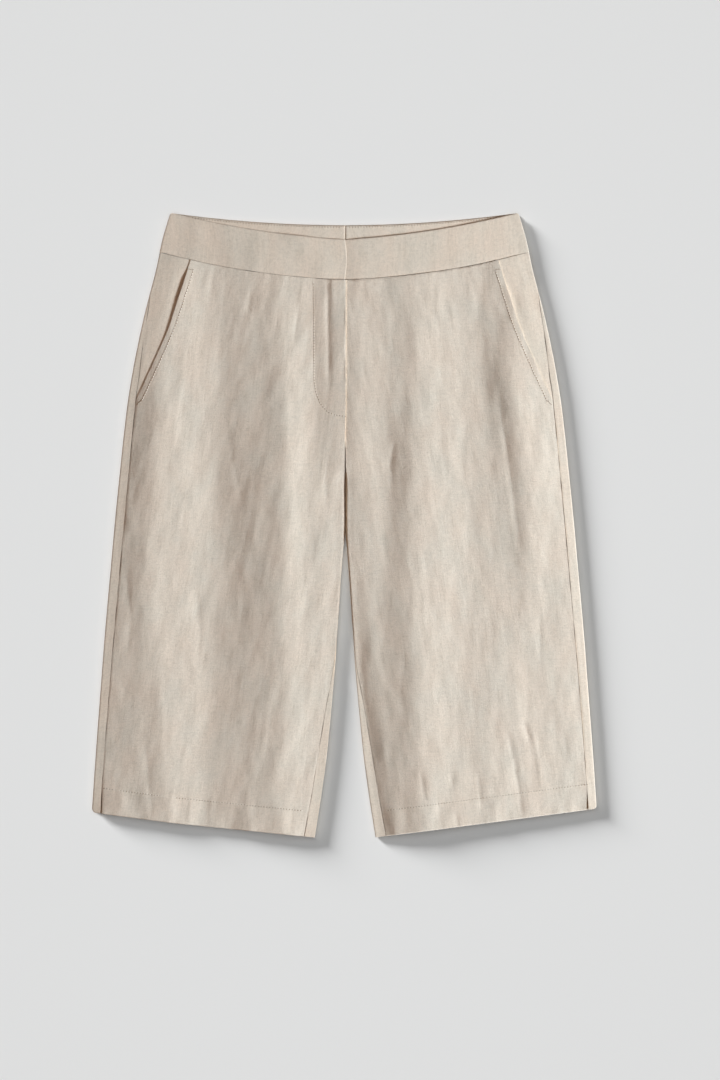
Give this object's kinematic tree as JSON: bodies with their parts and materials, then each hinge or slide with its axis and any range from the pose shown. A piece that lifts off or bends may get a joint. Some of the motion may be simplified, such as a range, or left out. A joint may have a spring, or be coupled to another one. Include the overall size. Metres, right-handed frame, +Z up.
{
  "type": "bermuda shorts",
  "caption": "Knee-length linen bermuda shorts laid flat, front up, with a plain waistband, a lapped zip fly, slanted hip pockets and turned-up hems.",
  "frame": {"origin": "on the surface that the garment lies on, under the middle of its outline", "axes": "+X to the wearer's left, +Y from the hems to the waist, +Z up from the surface, out of the garment's front"},
  "size_m": [0.5178, 0.6416, 0.0076],
  "materials": {
    "linen": "plain-woven natural linen, matt, slubbed, softly creased",
    "thread": "matt sewing thread in the colour of the cloth"
  },
  "bodies": {
    "root": {"front_right": "linen", "front_left": "linen", "back_right": "linen", "back_left": "linen", "hip_pocket_right": "linen", "hip_pocket_left": "linen", "waistband_right": "linen", "waistband_left": "linen"}
  },
  "joints": []
}
